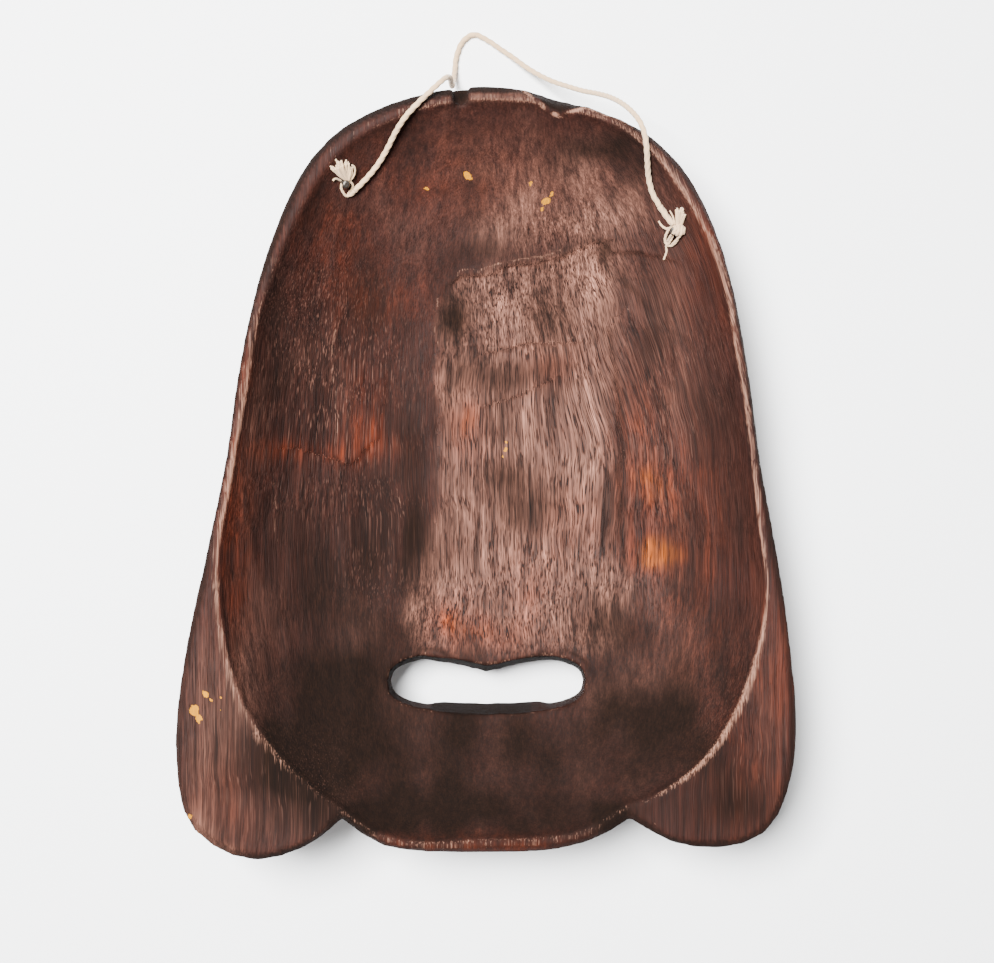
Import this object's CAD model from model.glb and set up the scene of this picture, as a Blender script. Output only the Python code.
"""A carved wooden mask lying face down, with its hanging cord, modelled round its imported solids."""

import itertools
import math
import random

import bpy
import numpy as np
from bpy.props import FloatProperty, FloatVectorProperty, IntProperty, PointerProperty
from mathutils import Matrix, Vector
from mathutils.bvhtree import BVHTree


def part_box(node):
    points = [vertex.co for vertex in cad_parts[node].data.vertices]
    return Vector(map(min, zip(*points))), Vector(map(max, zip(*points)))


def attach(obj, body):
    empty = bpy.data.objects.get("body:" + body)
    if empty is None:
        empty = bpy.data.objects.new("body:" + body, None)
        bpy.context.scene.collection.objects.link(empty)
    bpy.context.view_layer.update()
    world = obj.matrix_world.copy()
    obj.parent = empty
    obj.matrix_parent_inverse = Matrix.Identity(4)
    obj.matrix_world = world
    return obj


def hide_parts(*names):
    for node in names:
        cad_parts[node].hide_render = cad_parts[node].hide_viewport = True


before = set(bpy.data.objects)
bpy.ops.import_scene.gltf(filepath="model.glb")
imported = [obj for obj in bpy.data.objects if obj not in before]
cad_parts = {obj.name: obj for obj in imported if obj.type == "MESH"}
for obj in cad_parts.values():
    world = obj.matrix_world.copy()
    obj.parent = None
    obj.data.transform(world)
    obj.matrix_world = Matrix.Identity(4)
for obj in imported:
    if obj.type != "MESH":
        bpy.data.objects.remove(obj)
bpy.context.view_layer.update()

bl_info = {
    "name": "Carved Wooden Mask",
    "version": (1, 0, 0),
    "blender": (4, 5, 0),
    "location": "View3D > Sidebar > Wooden Mask",
    "description": "Models a carved wooden mask lying face down with its hanging cord",
    "category": "Add Mesh",
}

MM = 0.001  # a millimetre in metres
IMAGE_WIDTH = 994  # pixels
MASK_TRIANGLES = 190000  # for the whole mask, with fewer on the side that faces the table

# All places on the mask below are in millimetres, with X to the right and Y to the crown
BACK_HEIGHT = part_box("mask_body")[1].z / MM  # the flat back of the mask
CENTRE = (0.0, -5.0)  # middle of the hollow, as the carving runs round it

# Sharp edge of the hollow in the flat back
HOLLOW_EDGE = [
    (91.3, 21.9), (96, -20.1), (98.3, -41.1), (94.9, -63.9), (87.2, -84.5), (74.9, -102.4),
    (57.4, -114.3), (48, -117), (35.5, -125), (18.9, -128), (-2.1, -128.8), (-23.1, -129.5),
    (-38, -126.5), (-49.4, -118.8), (-58.1, -112.9), (-68.6, -103.4), (-83.3, -84.5), (-91.7, -58.6),
    (-93.8, -30.6), (-89.6, -2.6), (-84.7, 25.4), (-78.4, 60.4), (-64.1, 94), (-50, 114),
    (-38.3, 121.3), (-16.1, 129.3), (11.9, 130.4), (39.9, 124.4), (53.9, 116.4), (65.1, 104.5),
    (76.7, 85.6), (84.2, 63.9), (88, 42.9),
]

# Outside of the mask seen from above: ears, crown and chin
OUTER_EDGE = [
    (50.4, -121.3), (67.9, -130.5), (88.9, -130.7), (100.5, -123.7), (107.3, -106), (108.9, -88),
    (106.8, -62), (102.6, -31.3), (96.6, 2.3), (92.1, 35.9), (85.8, 69.5), (76.7, 94.7),
    (65.5, 111.5), (50, 123.3), (28, 131.3), (0.4, 136.1), (-30.1, 131.1), (-52.5, 119.9),
    (-66.2, 103.1), (-79.5, 69.5), (-86.8, 35.9), (-91.7, 2.3), (-98.7, -31.3), (-105.7, -64.9),
    (-108.9, -98.5), (-103.3, -124.4), (-82.6, -136), (-61.6, -130.4), (-50.8, -121.6),
    (-37.1, -130.7), (-19.6, -133.2), (4.9, -133.4), (25.9, -132.1), (39.9, -127.9),
]

# The cord's middle line, from the left knot over the rim, round its loop and up to the right knot
CORD_ROUTE = [
    (-46.9, 100.4, 50.2), (-42.4, 104.9, 50.6), (-38.6, 109.2, 51.9), (-35.2, 114, 54.4),
    (-31.6, 119.8, 58.2), (-28, 124.4, 61.1), (-23.6, 128.9, 62), (-19.6, 132.8, 61.9),
    (-16, 136.4, 60.8), (-13.9, 139, 57.2), (-13, 140.6, 50.5), (-12.9, 142, 41),
    (-13, 143.6, 29), (-13, 145.8, 17.5), (-12.9, 149.6, 8), (-12.5, 155.4, 2.9),
    (-11.8, 161.4, 1.8), (-9.4, 166.9, 1.75), (-5, 169.6, 1.75), (0.4, 167.2, 1.8),
    (5.2, 163.8, 2.3), (9.6, 160.6, 3.2), (14.6, 156.4, 5.2), (19.6, 152.4, 8.6),
    (25, 148.6, 13.2), (30.4, 145.4, 18.6), (35.6, 142.2, 25), (40.6, 139.2, 33),
    (44.8, 135.8, 41.5), (48.4, 131.6, 50), (51.4, 127, 57), (53.6, 122.8, 61.2),
    (55.2, 118.6, 62), (56, 113.6, 62), (56.6, 108.8, 59), (57.4, 104, 55.2),
    (59, 98.8, 53.2), (61.6, 94.4, 52.6),
]

# Yarns of the cord's tied ends: radius at the start and the end, and a line of x, y and height
# over the wood
LEFT_YARNS = [
    (0.5, 0.45, (
        (-49, 103.6, 2.0), (-50.8, 102.9, 1.5), (-51.4, 101.1, 1.3), (-50.8, 99.6, 1.3),
        (-49.8, 98.5, 1.4), (-48.8, 99.7, 1.7), (-47.7, 101.1, 1.9), (-47.5, 102.4, 2.0),
        (-48.4, 103.3, 2.1), (-49.6, 103.5, 2.2),
    )),
    (0.45, 0.4, ((-49.8, 103.2, 2.2), (-51.2, 103.4, 2.0), (-53.1, 103.6, 1.7), (-54, 102.9, 1.4))),
    (0.4, 0.3, ((-48.2, 103.5, 2.2), (-46.7, 105.4, 2.8), (-46.3, 107.6, 3.2), (-47.3, 108.4, 3.2))),
]
RIGHT_YARNS = [
    (0.55, 0.5, (
        (67, 87.4, 2.8), (65, 86.4, 2.6), (63.9, 83.9, 2.2), (64.2, 82, 1.9), (65.7, 81, 1.8),
        (67.3, 81.8, 2.1), (68.4, 83.6, 2.5), (69, 85.4, 2.9),
    )),
    (0.5, 0.45, ((67, 86.6, 3.6), (66.4, 84.4, 3.2), (65.3, 82, 2.5), (64.6, 81, 2.0))),
    (0.5, 0.4, ((69.4, 84.6, 3.1), (67.8, 82.9, 2.9), (66.2, 81.4, 2.3))),
    (0.6, 0.5, ((68.6, 87, 3.4), (67, 85.9, 5.2), (65.7, 84.3, 4.4), (64.7, 82.6, 2.4))),
    (0.7, 0.35, ((66.6, 87.2, 2.4), (64.4, 86.8, 2.2), (62.7, 87.9, 1.9), (61.5, 89.7, 1.7))),
    (0.45, 0.4, ((64.9, 82.4, 1.6), (64.4, 80.9, 1.4), (64.6, 79.1, 1.2), (63.8, 76.6, 0.9))),
    (0.4, 0.25, ((66.8, 87.8, 3.0), (66.1, 90.4, 2.8), (65, 92.7, 2.2))),
]

# Ends of the cord itself where it thins into its knot, as the yarns are
LEFT_CORD_END = (1.1, 0.6, ((-48.3, 99.2, 1.6), (-49.6, 98.5, 1.4)))
RIGHT_CORD_END = (1.15, 1.1, ((63.3, 91.9, 2.6), (64.8, 89.7, 2.9), (66.4, 87.8, 3.2)))

# Lump of the right knot: middle as x, y and height, radius, turns of yarn and radius of the yarn
RIGHT_LUMP = ((68.2, 85.7, 3.0), 1.5, 4, 0.75)

# Frayed tufts: root, tip, how far the tips spread and how many strands
LEFT_FRAYS = [
    ((-49.2, 103.6, 2.0), (-54, 106.9, 2.6), 0.7, 12), ((-49.1, 103.7, 2.1), (-51.8, 108.6, 3.0), 1.3, 24),
    ((-48.9, 103.7, 2.2), (-49, 109.3, 3.3), 0.8, 15), ((-48.6, 103.6, 2.2), (-47.4, 107.9, 3.1), 0.6, 9),
]
RIGHT_FRAYS = [
    ((67.8, 87, 3.0), (67.2, 93, 3.0), 0.5, 9), ((68.2, 87, 3.0), (68.7, 93.1, 3.0), 0.6, 12),
    ((68.6, 86.8, 3.0), (69.7, 91.4, 2.6), 0.5, 7),
]

# Pale rubbed wood down the middle of the hollow: height on the mask, and its left and right sides
RUBBED_STRIP = [
    (-72, -29, 46), (-60, -30, 46), (-44, -29, 48), (-30, -25, 47), (-12, -18, 43), (0, -19, 45),
    (14, -17, 42), (30, -19, 44), (46, -17, 46), (60, -17, 44), (70, -14, 45), (80, -6, 43),
]

# Soft oval patches: x, y, half width, half height and strength
BARE_PATCHES = [
    (15, 97, 9, 8, 0.7), (33, 107, 8, 8, 0.6), (37, 91, 13, 8, 0.5), (52, 97, 9, 8, 0.45),
    (4, 88, 9, 6, 0.3), (30, 68, 14, 12, 0.45), (6, 62, 14, 7, 0.3), (12, -28, 12, 9, 0.4),
    (64, -40, 12, 18, 0.12), (36, 10, 6, 30, 0.3), (45, -85, 9, 9, 0.35), (58, -76, 12, 10, 0.2),
    (-27, -50, 3, 8, 0.6), (-40, -88, 12, 20, 0.08), (-48, -62, 9, 14, 0.1), (10, -95, 8, 16, 0.06),
    (34, -104, 6, 14, 0.07), (-20, -108, 5, 14, 0.06), (70, -66, 8, 20, 0.1), (60, 20, 16, 60, 0.14),
    (40, 20, 5, 30, 0.2), (0, 98, 40, 20, 0.08), (44, -52, 7, 14, 0.3), (-95, -95, 9, 28, 0.28),
    (-78, -122, 22, 12, 0.16), (98, -80, 6, 30, 0.12), (12, 134, 3, 2, 0.9), (-1, 132, 7, 2, 0.5),
    (-101, -127, 5, 7, 0.7), (-94, -132, 6, 3, 0.7), (8, 112, 22, 12, 0.12), (42, 72, 10, 10, 0.3),
    (-84, -70, 5, 24, 0.25), (66, 62, 8, 22, 0.12),
]
DARK_PATCHES = [
    (-5, -102, 62, 26, 1.0), (-58, -82, 30, 30, 0.95), (-42, -40, 16, 30, 0.7),
    (-70, -30, 16, 26, 0.5), (-76, 32, 9, 20, 0.55), (-58, 40, 8, 22, 0.35), (-40, 60, 12, 22, 0.4),
    (-74, 70, 8, 20, 0.3), (38, 114, 15, 6, 0.9), (74, 30, 6, 12, 0.3), (50, 110, 8, 10, 0.5),
    (52, -60, 12, 8, 0.75), (64, -84, 24, 14, 0.6), (7, -1, 12, 6, 1.1), (17, -13, 12, 9, 0.8),
    (-12, -24, 10, 14, 0.35), (62, 52, 6, 16, 0.45), (88, -112, 14, 14, 0.9), (-62, -106, 12, 8, 0.8),
    (-28, 6, 7, 24, 0.75), (-30, -22, 6, 12, 0.4), (41, -52, 11, 12, 0.65), (10, 34, 16, 5, 0.5),
    (-11, 56, 9, 9, 0.4), (-6, 40, 8, 10, 0.45), (22, 57, 8, 6, 0.35), (43, 81, 3, 6, 0.9),
    (-44, -123, 7, 5, 0.95), (44, -121, 5, 4, 0.95), (-84, -112, 18, 18, 0.3), (10, 18, 14, 7, 0.3),
    (-12, 58, 6, 9, 0.35), (22, 62, 9, 5, 0.25), (0, 82, 12, 5, 0.6), (-76, 100, 16, 14, 0.35),
    (56, -100, 12, 14, 0.6), (0, -122, 60, 8, 0.6), (70, -95, 16, 10, 0.4), (78, -56, 12, 16, 0.35),
    (12, 40, 18, 4, 0.35),
]
WARM_PATCHES = [
    (-43, 15, 9, 8, 0.45), (-45, 30, 8, 12, 0.18), (-64, 8, 28, 4, 0.45), (-86, 40, 4, 14, 0.4),
    (-44, 62, 12, 10, 0.1), (-52, 78, 9, 18, 0.14), (-36, 64, 16, 14, 0.12), (60, -5, 8, 9, 0.75),
    (62, -29, 9, 6, 1.1), (72, -30, 14, 34, 0.3), (90, -104, 14, 24, 0.26), (56, 14, 10, 22, 0.3),
    (-7, 18, 7, 11, 0.75), (4, -60, 18, 5, 0.38), (16, -44, 7, 14, 0.34), (-12, -55, 9, 8, 0.7),
    (24, 40, 10, 8, 0.3), (30, -20, 10, 16, 0.25), (-90, -18, 5, 34, 0.45), (-60, 88, 14, 12, 0.12),
    (78, 74, 8, 22, 0.3), (-8, 106, 30, 12, 0.18), (100, -68, 6, 22, 0.3), (-92, -116, 10, 12, 0.25),
    (0, -131, 50, 4, 0.35),
]
SCRATCHED_PATCHES = [
    (-58, 30, 24, 44, 1.0), (-40, -30, 16, 26, 0.5), (-92, -100, 16, 34, 0.6),
    (90, -100, 16, 30, 0.4), (-64, -110, 16, 12, 0.9), (0, -100, 50, 20, 0.1), (64, 20, 20, 50, 0.5),
    (10, 10, 26, 50, 0.5),
]
PORE_PATCHES = [
    (32, 86, 24, 16, 0.6), (54, 24, 17, 46, 0.6), (60, -30, 20, 34, 0.5), (-76, -112, 26, 24, 0.3),
    (90, -95, 16, 40, 0.4), (-62, 10, 30, 60, 0.45), (-97, -80, 12, 40, 0.35),
]

# Soft lines: half width, strength and points
DARK_LINES = [
    (1.5, 0.6, ((-11.7, 72), (5, 77.2), (27, 81.2), (42, 85.5), (44, 79.6), (55, 79.4))),
    (1.0, 0.4, ((3, 69.5), (22, 74), (41.5, 80.7))),
    (1.2, 0.6, ((0, 45.1), (16.1, 48), (26, 49.4), (32.8, 48.6), (33.2, 38))),
    (2.4, 0.5, ((1, 27.5), (13, 29), (27, 36.5))),
    (1.5, 0.8, ((49, 75), (55, 66), (60, 56))),
    (1.7, 0.75, ((43, 52), (50, 26), (49, -14), (51, -36))),
    (1.2, 0.6, ((-19.5, 30), (-20.5, 0), (-19, -30), (-24, -56))),
    (0.8, 0.6, ((60, 60), (72, 46), (78, 30))),
    (0.8, 0.45, ((-70, -4), (-56, -16), (-40, -14), (-36, 4))),
    (1.5, 1.2, (
        (-38, -73), (-35, -67.3), (-28.3, -64.6), (-21, -66.4), (-9.8, -70), (1.3, -72),
        (12.4, -70.4), (23.5, -67), (30.9, -66), (35.7, -69.5), (37.5, -74),
    )),
    (0.7, 0.8, ((-87, -118), (-87, -133))), (0.6, 0.6, ((-98, -88), (-98, -104))),
    (0.6, 0.6, ((-80, -112), (-78, -130))), (0.7, 0.7, ((92, -104), (93, -128))),
]
PALE_LINES = [
    (0.9, 0.55, ((-18.4, 64), (-17.4, 45))), (0.7, 0.6, ((-55, 52), (-56, 14))),
    (0.6, 0.5, ((-46, 30), (-45, 14))), (0.7, 0.5, ((-76, -4), (-77, -26))),
    (1.4, 0.5, ((-33, -6), (-32, -30))), (0.8, 0.45, ((34, 37), (35, 28))),
    (0.9, 0.6, ((-12, 72.5), (5, 77.6), (26, 81.4))), (0.8, 0.5, ((1, 47), (16, 50), (31, 50.6))),
]

# Gold leaf left on the back: x, y and half width
GOLD_FLECKS = [
    (-6, 106.8, 1.3), (-22.2, 103, 0.8), (16.8, 104.7, 1.0), (22.5, 98.7, 1.6), (20.5, 96, 0.8),
    (24.2, 101, 0.9), (7.2, 8, 1.3), (7.9, 10.6, 0.8), (6.4, 5.6, 0.8), (-101, -127, 1.2),
    (-97.5, -131, 1.3), (-104, -121, 1.0), (-102.9, -84, 2.1), (-101, -87.4, 1.6),
    (-98.5, -78.6, 1.5), (-96, -80.7, 0.9), (-93, -78, 0.6), (-93.2, -83.4, 0.8),
    (-91.6, -130.6, 1.0),
]

# Steps that a chisel left, which stand up on the left of each line: rise, how far it fades, and points
CHISEL_STEPS = [
    (0.9, 10, ((-13, 70.2), (5, 75.7), (27, 79.7), (43.2, 84.8))),
    (0.7, 8, ((44, 85), (44.4, 79.6), (56, 79.4), (66, 76))),
    (0.5, 7, ((1.2, 45.1), (16.1, 48.8), (26, 49.4), (32.8, 48.6))),
    (0.5, 6, ((32.8, 49), (33.4, 36.5))),
    (0.5, 9, ((-19.4, 66), (-18.4, 20), (-20, -30))),
    (0.6, 8, ((50.9, 60), (43.5, 52), (49.5, 26), (48.8, -12))),
    (0.5, 10, ((1, 26.6), (13, 28.4), (26, 36))),
    (0.5, 10, ((-72, 8), (-50, 4), (-40, 12), (-38, 34))),
]

# Wear on the arris round the hollow: angle in degrees, reach inwards, reach outwards and strength
ARRIS_WEAR = [
    (-180, 0.9, 1.8, 0.8), (-164, 0.7, 3.2, 0.65), (-146, 0.5, 5.5, 0.58), (-130, 0.5, 5.5, 0.55),
    (-120, 0.7, 1.2, 0.45), (-90, 0.9, 1.8, 0.5), (-66, 0.7, 1.2, 0.4), (-54, 1.2, 2.4, 0.68),
    (-36, 1.4, 3.2, 0.72), (-24, 0.8, 2.0, 0.66), (0, 0.8, 1.0, 0.7), (40, 1.5, 1.6, 0.68),
    (58, 1.8, 1.8, 0.7), (70, 1.2, 1.4, 0.55), (86, 1.3, 1.3, 0.62), (94, 1.2, 1.2, 0.6),
    (112, 1.6, 1.0, 0.4), (130, 2.0, 1.0, 0.38), (150, 1.4, 1.4, 0.6), (166, 1.0, 1.8, 0.75),
]

# Rim outside the arris: angle in degrees, how far it falls, where it starts to fall, and its dirt
OUTER_SLOPE = [
    (-180, 0.8, 2.4, 0.85), (-150, 0.8, 2.6, 0.5), (-133, 0.9, 2.4, 0.3), (-118, 1.4, 1.2, 0.9),
    (-90, 1.6, 1.8, 0.25), (-60, 1.0, 1.2, 0.8), (-30, 0.8, 2.0, 0.4), (0, 1.2, 1.2, 0.6),
    (35, 2.2, 1.6, 0.4), (52, 2.6, 2.0, 0.4), (72, 2.8, 1.2, 0.8), (90, 2.8, 1.0, 0.9),
    (115, 2.4, 1.2, 0.9), (135, 1.6, 1.8, 0.8), (158, 1.0, 2.2, 0.85),
]
EAR_SLOPE_WIDTH = 4.0  # on the ears the fall is only along their outer edge

# Arris of the broken stretch of rim
CHIP_ARRIS = [
    (12.5, 135), (15.4, 132.4), (22.4, 126.6), (26.6, 125.4), (29.4, 126.4), (35.8, 128.3),
    (37.5, 127.3), (46.6, 124.1), (54, 121.5),
]

# Cut in the top rim, and the mouth slot: middle and half size, each as x and y
NOTCH_MIDDLE, NOTCH_HALF = (-9, 134), (3, 5)
SLOT_MIDDLE, SLOT_HALF = (0, -74), (40, 17)

# Dark ledge in the lower side of the mouth slot
LEDGE_TOP = -76
LEDGE_MIDDLE = -1.9
LEDGE_WIDTH = 37.6

# Evening out the steps of the mesh: passes, and how far each vertex goes in and then back out
SMOOTHING_PASSES = 8
SMOOTHING_PULLS = (0.5, -0.53)

# The arris is rubbed round at upper left: angle and spread in degrees, and passes of smoothing
SOFT_ARRIS_ANGLE = 135
SOFT_ARRIS_SPREAD = 22
SOFT_ARRIS_PASSES = 12

GOUGE_SEED = 11  # fixes where the gouge cuts fall
GRAIN_LEAN = 0.34  # how far the grain moves left for each step up, at upper right
GRAIN_LEAN_START = 5  # the grain is upright below this height on the mask
CAMERA_OVER = (3.85, -3.15)  # the place that the camera looks straight down on
LAMP_PLACE = Vector((-0.3, 0.24, 1.22))  # metres

CORD_STRANDS = 3
YARN_STRANDS = 2
YARN_TWIST_LENGTH = 3.0
STRAND_GROOVE = 0.6  # soft cotton strands press together, so the grooves between them are shallow
FRAY_RADII = (0.46, 0.5, 0.34)  # of a loose strand, from its root to its tip
NAIL_ROUNDING = 0.12  # radius on the edges of the nail heads
NAIL_DENTS = 0.05  # how deep the hammer's dents are


def linear_colour(hex_code):
    """An sRGB hex code as linear red, green, blue and alpha."""
    channels = [int(hex_code[i:i + 2], 16) / 255 for i in (1, 3, 5)]
    linear = [c / 12.92 if c <= 0.04045 else ((c + 0.055) / 1.055) ** 2.4 for c in channels]
    return (*linear, 1.0)


class CarvingSettings(bpy.types.PropertyGroup):
    """Sizes and colours of the carved wood."""

    mesh_size: FloatProperty(
        name="Mesh Size", description="Spacing of the carved surface's mesh",
        default=1.1 * MM, min=0.8 * MM, max=4 * MM, unit="LENGTH",
    )
    gouge_width: FloatProperty(
        name="Gouge Width", description="Width of the gouge that hollowed the back",
        default=17 * MM, unit="LENGTH",
    )
    gouge_depth: FloatProperty(
        name="Gouge Depth", description="How far the ridges between gouge cuts stand up",
        default=0.9 * MM, unit="LENGTH",
    )
    fibre_width: FloatProperty(
        name="Fibre Width", description="Width of the wood's fibres, drawn just coarse enough to show",
        default=0.4 * MM, unit="LENGTH",
    )
    pore_length: FloatProperty(
        name="Pore Length", description="Length of the wood's open pores along the grain",
        default=8 * MM, unit="LENGTH",
    )
    stain_colour: FloatVectorProperty(
        name="Stain", description="Dark red-brown stain in the wood", size=4,
        default=linear_colour("#261410"), min=0, max=1, subtype="COLOR",
    )
    rubbed_colour: FloatVectorProperty(
        name="Rubbed Wood", description="Wood that is rubbed pale down the middle of the hollow", size=4,
        default=linear_colour("#6b493d"), min=0, max=1, subtype="COLOR",
    )
    worn_colour: FloatVectorProperty(
        name="Worn Arris", description="Bare wood where the edges are worn", size=4,
        default=linear_colour("#85604f"), min=0, max=1, subtype="COLOR",
    )
    gold_colour: FloatVectorProperty(
        name="Gold Leaf", description="Flecks of old gold leaf", size=4,
        default=linear_colour("#a56c05"), min=0, max=1, subtype="COLOR",
    )


class CordSettings(bpy.types.PropertyGroup):
    """Sizes and colour of the cord and its nails."""

    diameter: FloatProperty(
        name="Diameter", description="Diameter of the twisted cord", default=2.05 * MM, unit="LENGTH",
    )
    twist_length: FloatProperty(
        name="Twist Length", description="Length along the cord of one full turn of its twist",
        default=9 * MM, unit="LENGTH",
    )
    seed: IntProperty(name="Seed", description="Fixes how the tied ends fray", default=7)
    cotton_colour: FloatVectorProperty(
        name="Cotton", description="Natural unbleached cotton", size=4,
        default=linear_colour("#d9b78c"), min=0, max=1, subtype="COLOR",
    )


class StageSettings(bpy.types.PropertyGroup):
    """Camera, lights and floor."""

    camera_height: FloatProperty(
        name="Camera Height", description="Height of the camera over the table",
        default=0.62, unit="LENGTH",
    )
    focal_pixels: FloatProperty(
        name="Focal Length", description="Focal length in pixels of the 994 pixel wide picture",
        default=1600,
    )
    lamp_power: FloatProperty(
        name="Lamp Power", description="Power of the soft lamp overhead in watts", default=100,
    )
    lamp_size: FloatProperty(
        name="Lamp Size", description="Side of the square soft lamp", default=0.42, unit="LENGTH",
    )
    sky_strength: FloatProperty(
        name="Sky Strength", description="Strength of the even light from all round", default=0.5,
    )
    floor_colour: FloatVectorProperty(
        name="Floor", description="Plain white table", size=4,
        default=linear_colour("#f6f7f8"), min=0, max=1, subtype="COLOR",
    )


def add_node(tree, kind, inputs=None, **settings):
    """Adds a node with its settings, and fills its inputs with values or links."""
    node = tree.nodes.new(kind)
    for name, value in settings.items():
        setattr(node, name, value)
    for key, value in (inputs or {}).items():
        if isinstance(value, bpy.types.NodeSocket):
            tree.links.new(value, node.inputs[key])
        else:
            node.inputs[key].default_value = value
    return node


def new_material(name):
    """A material with an empty node tree."""
    material = bpy.data.materials.new(name)
    material.use_nodes = True
    material.node_tree.nodes.clear()
    return material, material.node_tree


def deselect_all():
    for piece in bpy.context.selected_objects:
        piece.select_set(False)


def select_only(piece):
    deselect_all()
    piece.select_set(True)
    bpy.context.view_layer.objects.active = piece


def apply_modifier(piece, kind, **settings):
    """Adds a modifier to a piece and applies it."""
    select_only(piece)
    modifier = piece.modifiers.new(kind.title(), kind)
    for name, value in settings.items():
        setattr(modifier, name, value)
    bpy.ops.object.modifier_apply(modifier=modifier.name)


def merged_copy(node, name):
    """A copy of one of the solids, with its loose triangles joined."""
    piece = bpy.data.objects.new(name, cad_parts[node].data.copy())
    bpy.context.scene.collection.objects.link(piece)
    select_only(piece)
    bpy.ops.object.mode_set(mode="EDIT")
    bpy.ops.mesh.select_all(action="SELECT")
    bpy.ops.mesh.remove_doubles(threshold=0.01 * MM)
    bpy.ops.object.mode_set(mode="OBJECT")
    return piece


def finish_piece(piece, slot, material, *nodes):
    """Gives a finished piece its material, and says what it stands for and that it moves with the mask."""
    piece.data.materials.clear()
    piece.data.materials.append(material)
    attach(piece, "root")
    if nodes:
        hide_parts(*nodes)


def vertex_places(piece):
    """Places of a mesh's vertices in millimetres."""
    places = np.empty(len(piece.data.vertices) * 3, np.float32)
    piece.data.vertices.foreach_get("co", places)
    return places.reshape(-1, 3).astype(np.float64) / MM


def vertex_normals(piece):
    normals = np.empty(len(piece.data.vertices) * 3, np.float32)
    piece.data.vertex_normals.foreach_get("vector", normals)
    return normals.reshape(-1, 3).astype(np.float64)


def move_vertices(piece, places):
    piece.data.vertices.foreach_set("co", (places * MM).astype(np.float32).ravel())
    piece.data.update()


def store_attribute(piece, name, values):
    """Keeps a number from 0 to 1 for each vertex, for a material to read."""
    attribute = piece.data.attributes.new(name, "FLOAT", "POINT")
    attribute.data.foreach_set("value", np.clip(values, 0.0, 1.0).astype(np.float32))


def mesh_edges(piece):
    """Pairs of vertices that an edge joins, and how many edges each vertex has."""
    edges = np.empty(len(piece.data.edges) * 2, np.int32)
    piece.data.edges.foreach_get("vertices", edges)
    edges = edges.reshape(-1, 2)
    return edges, np.maximum(np.bincount(edges.ravel(), minlength=len(piece.data.vertices)), 1)


def neighbour_mean(values, edges, count):
    """Mean of the vertices that an edge joins to each vertex."""
    columns = []
    for column in values.reshape(len(count), -1).T:
        total = np.bincount(edges[:, 0], column[edges[:, 1]], len(count))
        total += np.bincount(edges[:, 1], column[edges[:, 0]], len(count))
        columns.append(total / count)
    return np.stack(columns, axis=1).reshape(values.shape)


def smooth_step(values, low, high):
    part = np.clip((values - low) / (high - low), 0.0, 1.0)
    return part * part * (3.0 - 2.0 * part)


def lattice_value(cells, seed):
    """A fixed random value from -1 to 1 for each whole-numbered place."""
    mixed = cells @ np.array([73856093, 19349663, 83492791]) + seed * 2654435761
    mixed = (mixed ^ (mixed >> 13)) * 1274126177
    return ((mixed ^ (mixed >> 16)) & 0xFFFF) / 32767.5 - 1.0


def soft_noise(places, size, seed):
    """Smooth random values from -1 to 1, with lumps about size across."""
    cells = places / size
    base = np.floor(cells).astype(np.int64)
    part = cells - base
    part = part * part * (3.0 - 2.0 * part)
    total = np.zeros(len(places))
    for corner in itertools.product((0, 1), repeat=3):
        weight = np.prod(np.where(corner, part, 1.0 - part), axis=1)
        total += weight * lattice_value(base + corner, seed)
    return total


def gouge_cuts(x, y, width, seed):
    """Surface left by overlapping long gouge cuts, about 0 to 1, with ridges where the cuts meet."""
    u = x / width
    v = y / (2.6 * width)
    column = np.floor(u).astype(np.int64)
    row = np.floor(v).astype(np.int64)
    lowest = np.full(len(x), np.inf)
    for across, along in itertools.product((-1, 0, 1), repeat=2):
        cell = np.stack([column + across, row + along, np.zeros_like(row)], axis=1)
        from_u = u - (column + across + 0.5 + 0.35 * lattice_value(cell, seed))
        from_v = v - (row + along + 0.5 + 0.35 * lattice_value(cell, seed + 1))
        level = 0.35 * lattice_value(cell, seed + 2)
        tilt = 0.5 * lattice_value(cell, seed + 3) * from_u
        lowest = np.minimum(lowest, level + tilt + 1.6 * (from_u ** 2 + from_v ** 2))
    return lowest


def smooth_route(points, spacing, closed=False):
    """Even steps along a smooth curve through the points, and the length travelled at each."""
    points = np.array(points, float)
    if closed:
        ends = np.vstack([points[-1], points, points[:2]])
    else:
        ends = np.vstack([2 * points[0] - points[1], points, 2 * points[-1] - points[-2]])
    part = np.linspace(0, 1, 16, endpoint=False)[:, None]
    pieces = []
    for a, b, c, d in zip(ends, ends[1:], ends[2:], ends[3:]):
        pieces.append(0.5 * (
            2 * b + (c - a) * part + (2 * a - 5 * b + 4 * c - d) * part ** 2
            + (3 * b - a - 3 * c + d) * part ** 3
        ))
    curve = np.vstack([*pieces, ends[-2]])
    travelled = np.concatenate([[0], np.cumsum(np.linalg.norm(np.diff(curve, axis=0), axis=1))])
    steps = max(2, round(travelled[-1] / spacing)) + 1
    even = np.linspace(0, travelled[-1], steps)
    return np.stack([np.interp(even, travelled, column) for column in curve.T], axis=1), even


def compass(x, y):
    """Angle and distance of each place from the middle of the hollow."""
    return np.degrees(np.arctan2(y - CENTRE[1], x - CENTRE[0])), np.hypot(x - CENTRE[0], y - CENTRE[1])


def edge_distance(angle, edge):
    """Distance from the middle of the hollow to a closed edge, towards each angle."""
    line, _ = smooth_route(edge, 2.0, closed=True)
    line_angle, distance = compass(*line.T)
    return np.interp(angle, *np.array(sorted(zip(line_angle, distance))).T, period=360)


def round_the_rim(angle, table):
    """The columns of a table whose first column is an angle, at each angle."""
    table = np.array(table)
    return [np.interp(angle, table[:, 0], column, period=360) for column in table.T[1:]]


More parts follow.
